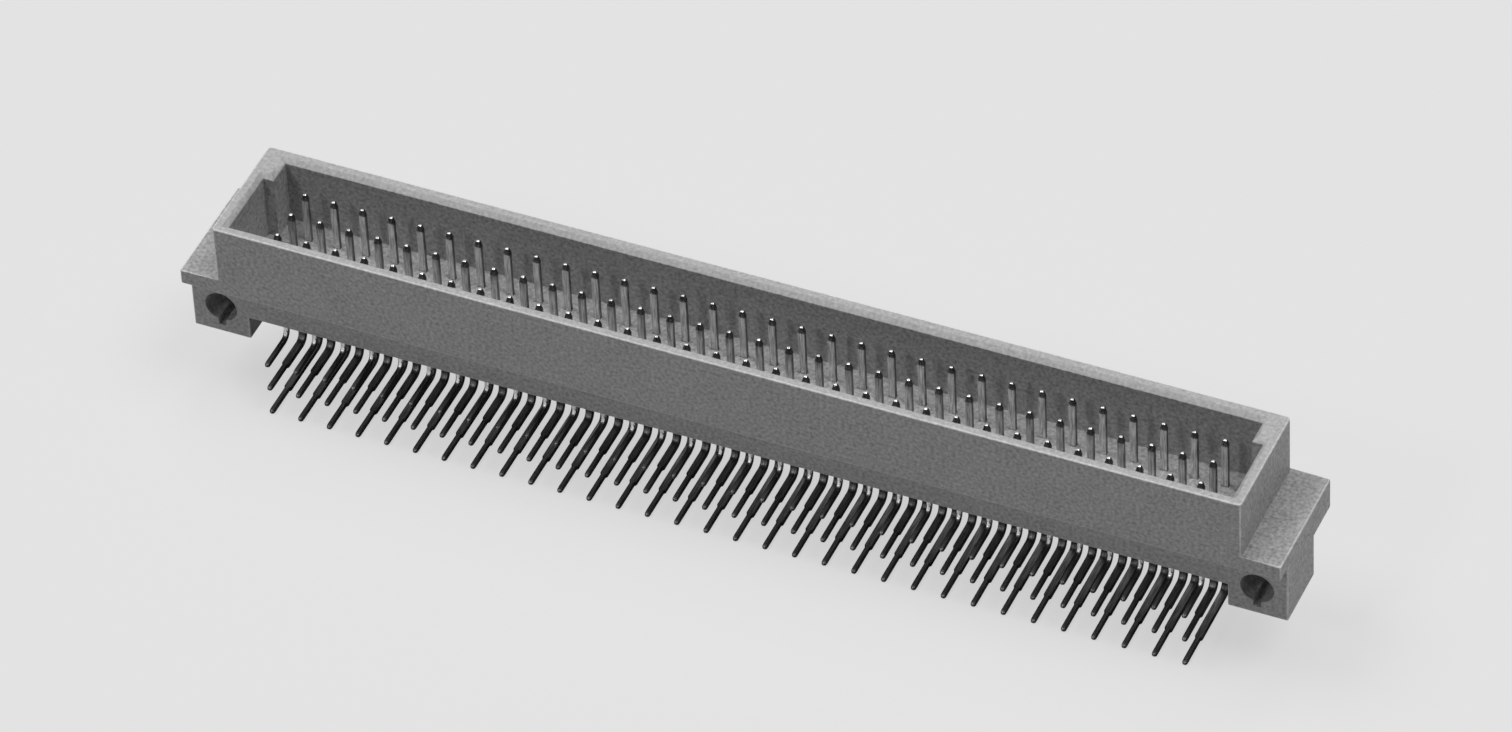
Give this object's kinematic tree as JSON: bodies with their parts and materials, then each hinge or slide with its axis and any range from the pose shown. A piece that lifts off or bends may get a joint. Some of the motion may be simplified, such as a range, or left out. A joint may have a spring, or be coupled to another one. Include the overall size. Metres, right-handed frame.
{
  "type": "backplane connector",
  "caption": "Long right-angle board connector: a shrouded housing with fixing ears holds rows of bent pins that plug into a backplane and solder into a circuit board.",
  "frame": {"origin": "midway between the two fixing holes, on the face that lies against the circuit board", "axes": "+X along the contact rows, +Z the mating direction out of the shroud, -Y out of the board seat, the way the solder tails point"},
  "size_m": [0.094, 0.0117, 0.0177],
  "materials": {
    "housing_plastic": "fine moulded grain, matt",
    "plated_contact": "stamped copper alloy strip with a bright tin-coloured plating"
  },
  "bodies": {
    "root": {"housing": "housing_plastic", "row_a_contacts_01_02": "plated_contact", "row_a_contacts_03_04": "plated_contact", "row_a_contacts_05_06": "plated_contact", "row_a_contacts_07_08": "plated_contact", "row_a_contacts_09_10": "plated_contact", "row_a_contacts_11_12": "plated_contact", "row_a_contacts_13_14": "plated_contact", "row_a_contacts_15_16": "plated_contact", "row_a_contacts_17_18": "plated_contact", "row_a_contacts_19_20": "plated_contact", "row_a_contacts_21_22": "plated_contact", "row_a_contacts_23_24": "plated_contact", "row_a_contacts_25_26": "plated_contact", "row_a_contacts_27_28": "plated_contact", "row_a_contacts_29_30": "plated_contact", "row_a_contacts_31_32": "plated_contact", "row_b_contacts_01_02": "plated_contact", "row_b_contacts_03_04": "plated_contact", "row_b_contacts_05_06": "plated_contact", "row_b_contacts_07_08": "plated_contact", "row_b_contacts_09_10": "plated_contact", "row_b_contacts_11_12": "plated_contact", "row_b_contacts_13_14": "plated_contact", "row_b_contacts_15_16": "plated_contact", "row_b_contacts_17_18": "plated_contact", "row_b_contacts_19_20": "plated_contact", "row_b_contacts_21_22": "plated_contact", "row_b_contacts_23_24": "plated_contact", "row_b_contacts_25_26": "plated_contact", "row_b_contacts_27_28": "plated_contact", "row_b_contacts_29_30": "plated_contact", "row_b_contacts_31_32": "plated_contact", "row_c_contacts_01_02": "plated_contact", "row_c_contacts_03_04": "plated_contact", "row_c_contacts_05_06": "plated_contact", "row_c_contacts_07_08": "plated_contact", "row_c_contacts_09_10": "plated_contact", "row_c_contacts_11_12": "plated_contact", "row_c_contacts_13_14": "plated_contact", "row_c_contacts_15_16": "plated_contact", "row_c_contacts_17_18": "plated_contact", "row_c_contacts_19_20": "plated_contact", "row_c_contacts_21_22": "plated_contact", "row_c_contacts_23_24": "plated_contact", "row_c_contacts_25_26": "plated_contact", "row_c_contacts_27_28": "plated_contact", "row_c_contacts_29_30": "plated_contact", "row_c_contacts_31_32": "plated_contact"}
  },
  "joints": []
}
